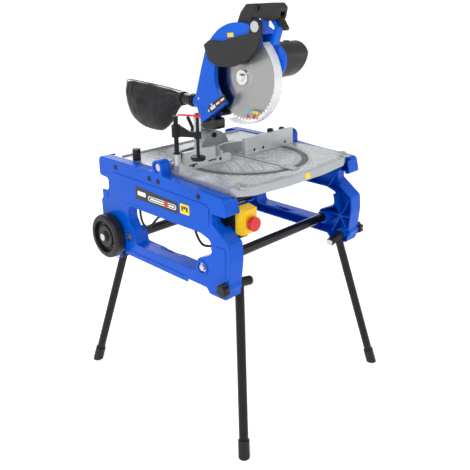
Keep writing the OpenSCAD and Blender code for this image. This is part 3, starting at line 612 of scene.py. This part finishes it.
parts = {
    "plate": ("film_black_and_slot_shade", [on_frame([(156, 555), (-31, 552), (-31, 583), (156, 592)], 0.5, 1)]),
    "bar_a": ("film_white", [on_frame(rounded(108, 567, 146, 580, 3), 0.8)]),
    "bar_b": ("film_white", [on_frame(rounded(-24, 560.5, 98, 575.5, 7), 0.8)]),
    "bar_c": ("film_black_and_slot_shade", [on_frame(rounded(-20, 563, 94, 573, 5), 1.0)]),
    "bar_d": ("film_white", [on_frame(rounded(a, 565.5, b, 570.5, 1), 1.2) for a, b in ((28, 88), (-16, 8))]),
    "dot": ("film_red", [on_frame(disc(18, 568, 9), 1.4)]),
    "yellow": ("film_yellow", [on_frame(rounded(-77, 558, -40, 586, 4), 0.6)]),
    "yellow_mark": ("film_black_and_slot_shade", [on_frame(rounded(a, low, b, 580, 1), 0.9)
                                   for a, low, b in ((-71, 566, -64), (-62, 572, -54), (-52, 566, -46))]),
}
for key, (mat, shapes) in parts.items():
    add("frame_label_" + key, merged("frame_label_" + key, shapes), mat, "stand", smooth=False)

ARM_X = -36.0  # the arm's left face
LABEL_END, LABEL_DIR = (113, 783), (-0.836, 0.549)


def arm_patch(a0, a1, b0, b1, out):
    """A patch on the arm's left face, laid along its label's slope."""
    dy, dz = LABEL_DIR
    pts = [(LABEL_END[0] + dy * s + dz * t, LABEL_END[1] + dz * s - dy * t)
           for s, t in ((a0, b0), (a1, b0), (a1, b1), (a0, b1))]
    return prism(pts, "x", ARM_X - out, ARM_X + 1)


arm_labels = {
    "arm_label": ("film_black_and_slot_shade", [arm_patch(0, 82, -11, 11, 0.5)]),
    "arm_label_bars": ("film_white", [arm_patch(6, 30, -6, 4, 0.8), arm_patch(36, 76, -3, 3, 0.8)]),
    "arm_label_dot": ("film_red", [arm_patch(52, 60, -5, 5, 1.0)]),
    "arm_sticker": ("film_yellow", [prism([(30, 1001), (6, 1003), (8, 1015), (32, 1013)], "x",
                                          ARM_X - 0.5, ARM_X + 1)]),
}
for name, (mat, shapes) in arm_labels.items():
    add(name, merged(name, shapes), mat, "head", smooth=False)

# Two rows of small warning patches on the clear guard, over the blade's lower edge.
MARK_STEP, MARK_OUT, MARK_IN = 12, -15.7, -14.6
guard_marks = {"film_cyan": [], "film_yellow": [], "film_pink": [], "film_red": []}
upper = ("film_cyan", "film_cyan", "film_yellow", "film_yellow")
lower = ("film_red", "film_pink", "film_red", "film_pink")
for keys, front, wide, low, high in ((upper, -22, 10, 788, 797), (lower, -24, 8, 774, 784)):
    for i, key in enumerate(keys):
        y = front - i * MARK_STEP
        guard_marks[key].append(prism(rounded(y - wide, low, y, high, 1.5), "x", MARK_OUT, MARK_IN))
for key, shapes in guard_marks.items():
    add("guard_marks_" + key, merged("guard_marks_" + key, shapes), key, "guard", smooth=False)

# ---------------------------------------------------------------- motor lead
# From the grommet in the window's rim, down in two dips, to the plug at the switch box.
LEAD = [(-268, 172, 520), (-268, 172, 490), (-267, 160, 462), (-266, 132, 460), (-266, 108, 488),
        (-264, 84, 512), (-252, 44, 514), (-250, 10, 540), (-250, -40, 524), (-250, -56, 486),
        (-246, -70, 462), (-236, -82, 456), (-222, -92, 456)]
LEAD_R = 0.0035


def lead_line(steps=5):
    """Quadratic spans between the midpoints of the route."""
    pts = [Vector(p) for p in LEAD]
    line = [pts[0]]
    for i in range(1, len(pts) - 1):
        a = pts[0] if i == 1 else (pts[i - 1] + pts[i]) / 2
        b = pts[-1] if i == len(pts) - 2 else (pts[i] + pts[i + 1]) / 2
        for k in range(1, steps + 1):
            t = k / steps
            line.append((1 - t) ** 2 * a + 2 * t * (1 - t) * pts[i] + t * t * b)
    return [at(*p) for p in line]


line = lead_line()
curve = bpy.data.curves.new("motor_lead_cord", "CURVE")
curve.dimensions = "3D"
curve.bevel_depth, curve.bevel_resolution = LEAD_R, 4
spline = curve.splines.new("POLY")
spline.points.add(len(line) - 1)
for p, co in zip(spline.points, line):
    p.co = (*co, 1)
curve.materials.append(M["rubber"])
lead = bpy.data.objects.new("motor_lead_cord", curve)
bpy.context.scene.collection.objects.link(lead)
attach(lead, "stand")
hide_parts("motor_lead")

# ---------------------------------------------------------------- dust bag
# Distance behind the turntable's centre, top, bottom and half width of the bag, in mm.
BAG = [
    (261, 817, 777, 20), (272, 819, 773, 21), (286, 820, 762, 25), (305, 822, 744, 31), (330, 824, 713, 36),
    (352, 825, 690, 40), (374, 827, 676, 42), (400, 828, 674, 43), (430, 829, 675, 44), (462, 830, 679, 44),
    (494, 831, 687, 42), (520, 832, 699, 38), (542, 832, 714, 30), (556, 830, 728, 20), (563, 826, 742, 9),
]
BAG_X, BAG_END = -10, 565
NECK_RINGS = [261, 264, 267.5]
BODY_FROM, BODY_TO, BODY_RINGS = 272, 563, 45
AROUND = 48
ALLOWANCE = 3.0  # the sewn shape is this much smaller than the bag puffed out
FULL_FROM = 275


def bag_ring(y, top, low, half, shrink):
    """One ring of the sewn bag: square-shouldered, and narrower towards its bottom."""
    mid, tall = (top + low) / 2, (top - low) / 2 - shrink
    ring = []
    for i in range(AROUND):
        t = 2 * math.pi * i / AROUND
        c, s = math.cos(t), math.sin(t)
        down = (1 - s) / 2
        x = (half - shrink) * math.copysign(abs(c) ** 0.75, c) * (1 - 0.4 * down ** 2.2)
        ring.append((BAG_X + x, y, mid + tall * math.copysign(abs(s) ** 0.85, s)))
    return ring


def between(y):
    """Top, bottom and half width at y, from the rows of BAG."""
    for a, b in zip(BAG, BAG[1:]):
        if a[0] <= y <= b[0]:
            t = (y - a[0]) / (b[0] - a[0])
            return tuple(p + (q - p) * t for p, q in zip(a[1:], b[1:]))
    return BAG[-1][1:]


def settle(bag, tail):
    """Lets the cloth puff out and sag, held at its neck and stiffer along its top seam."""
    frames, most, nothing = 20, 0.010, 1e-9
    held_rings, seam_grip = 4, 0.55
    mesh = bag.data
    start = [v.co.copy() for v in mesh.vertices]
    held = bag.vertex_groups.new(name="held")
    for v in mesh.vertices:
        j, i = divmod(v.index, AROUND)
        on_seam = v.index < tail and abs(i - AROUND // 4) <= 1
        held.add([v.index], 1.0 if j < held_rings else (seam_grip if on_seam else 0.0), "REPLACE")
    cloth = bag.modifiers.new("cloth", "CLOTH")
    cs = cloth.settings
    cs.quality, cs.mass = 6, 0.12
    cs.tension_stiffness = cs.compression_stiffness = 18
    cs.shear_stiffness, cs.bending_stiffness = 8, 0.35
    cs.use_pressure, cs.uniform_pressure_force = True, 1.6
    cs.vertex_group_mass = "held"
    cs.effector_weights.gravity = 0.5
    cloth.collision_settings.use_collision = False
    for f in range(1, frames + 1):
        bpy.context.scene.frame_set(f)
    posed_bag = bag.evaluated_get(bpy.context.evaluated_depsgraph_get())
    posed = [v.co.copy() for v in posed_bag.data.vertices]
    bag.modifiers.remove(cloth)
    for v, a, b in zip(mesh.vertices, start, posed):
        d = b - a
        v.co = a + d * min(1, most / max(d.length, nothing))
    bpy.context.scene.frame_set(1)


def crease(mesh, tail):
    """Folds that run from the gathered neck, slack over the whole bag and a few sharp creases."""
    gather_at, gather_fade, folds = 0.268, 0.045, 9
    fold_depth, slack_depth, crease_depth, crease_width = 0.0030, 0.0032, 0.0045, 0.25
    mesh.update()
    normals = [v.normal.copy() for v in mesh.vertices]
    for v in mesh.vertices:
        j, i = divmod(v.index, AROUND)
        if v.index >= tail or j < 2:
            continue
        x, y, z = v.co
        gather = math.exp(-(y + BACK - gather_at) / gather_fade) * min(1, (j - 1) / 3)
        fold = math.sin(i * 2 * math.pi * folds / AROUND + 2.4 * noise.noise(v.co * 14))
        slack = noise.noise(Vector((x * 9, y * 11 + z * 9, z * 4 - y * 6)))
        sharp = abs(noise.noise(Vector((x * 12, y * 15 - z * 17, z * 13)) + Vector((3, 1, 7))))
        dent = crease_depth * max(0, crease_width - sharp)
        v.co += normals[v.index] * (fold_depth * gather * fold + slack_depth * slack - dent)
    mesh.update()


body_step = (BODY_TO - BODY_FROM) / (BODY_RINGS - 1)
stations = NECK_RINGS + [BODY_FROM + body_step * k for k in range(BODY_RINGS)]
verts = []
for y in stations:
    verts += [at(*p) for p in bag_ring(y, *between(y), ALLOWANCE if y > FULL_FROM else 0.0)]
faces = rings_joined(len(stations), AROUND)
tail = len(verts)
verts.append(at(BAG_X, BAG_END, (BAG[-1][1] + BAG[-1][2]) / 2))
faces += [[tail - AROUND + i, tail - AROUND + (i + 1) % AROUND, tail] for i in range(AROUND)]
bag = add("dust_bag_cloth", mesh_from("dust_bag_cloth", verts, faces), "bag", "head")
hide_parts("dust_bag")
settle(bag, tail)
crease(bag.data, tail)
smooth = bag.modifiers.new("smooth", "SUBSURF")
smooth.levels = smooth.render_levels = 1

# Seam along the bag's top and down its back, then the hem at its neck, round the spout.
SEAM_SINK, SEAM_BACK = 1.0, 566.5
piping = [(-1.6, 0), (-1.1, 2.6), (1.1, 2.6), (1.6, 0)]
verts = [at(BAG_X + dx, y, between(y)[0] - SEAM_SINK + rise)
         for y in stations[len(NECK_RINGS):] for dx, rise in piping]
down_back = [(SEAM_BACK - 0.5, 800)] + [(SEAM_BACK, z) for z in range(790, 745, -8)]
verts += [at(BAG_X + dx, y + rise - SEAM_SINK, z) for y, z in down_back for dx, rise in piping]
wide = len(piping)
faces = [[k, k + 1, k + wide + 1, k + wide] for k in range(len(verts) - wide) if k % wide < wide - 1]
add("dust_bag_seam", mesh_from("dust_bag_seam", verts, faces), "bag", "head")
hem = [(258, 20.0), (258.6, 21.4), (261, 22.0), (266, 22.2), (269, 21.6), (270, 20.6), (270, 19), (258, 19)]
parts = [lathe((BAG_X + 2, 0, 797), (0, 1, 0), hem, 48)]
add("dust_bag_hem", merged("dust_bag_hem", parts), "rubber", "head")

# ---------------------------------------------------------------- floor and light
# A round floor, in metres, that curves up into a wall far behind whatever side is seen.
SWEEP = [(1, 0), (14, 0), (17, 0.5), (19, 1.8), (20, 4), (20.4, 9)]
TURNS = 64
ring = [(r * math.cos(2 * math.pi * i / TURNS), r * math.sin(2 * math.pi * i / TURNS), z)
        for r, z in SWEEP for i in range(TURNS)]
floor = bpy.data.meshes.new("floor")
floor.from_pydata(ring, [], [list(range(TURNS))] + [face[::-1] for face in rings_joined(len(SWEEP), TURNS)])
floor_obj = bpy.data.objects.new("floor", floor)
bpy.context.scene.collection.objects.link(floor_obj)
fm = bpy.data.materials.new("floor")
fm.use_nodes = True
shader = fm.node_tree.nodes["Principled BSDF"]
shader.inputs["Base Color"].default_value = (0.93, 0.93, 0.93, 1)
shader.inputs["Roughness"].default_value = 0.9
shader.inputs["Emission Color"].default_value = (1, 1, 1, 1)
shader.inputs["Emission Strength"].default_value = 0.42
floor.materials.append(fm)

world = bpy.data.worlds.new("studio")
bpy.context.scene.world = world
world.use_nodes = True
sky = world.node_tree.nodes["Background"]
sky.inputs["Color"].default_value = (1, 1, 1, 1)
sky.inputs["Strength"].default_value = 0.5


def lamp(name, where, target, size, power):
    """A round soft lamp, turned to its target."""
    data = bpy.data.lights.new(name, "AREA")
    data.shape, data.size, data.energy = "DISK", size, power
    obj = bpy.data.objects.new(name, data)
    bpy.context.scene.collection.objects.link(obj)
    obj.location = where
    obj.rotation_euler = (Vector(target) - Vector(where)).to_track_quat("-Z", "Y").to_euler()


lamp("key", (-2.4, -1.2, 3.0), (0, 0, 0.7), 1.0, 42)
lamp("fill", (1.8, -2.8, 2.0), (0, 0, 0.6), 1.6, 10)
lamp("rim", (1.2, 2.6, 2.6), (0, 0, 0.8), 1.4, 40)
bpy.context.scene.view_settings.view_transform = "Standard"
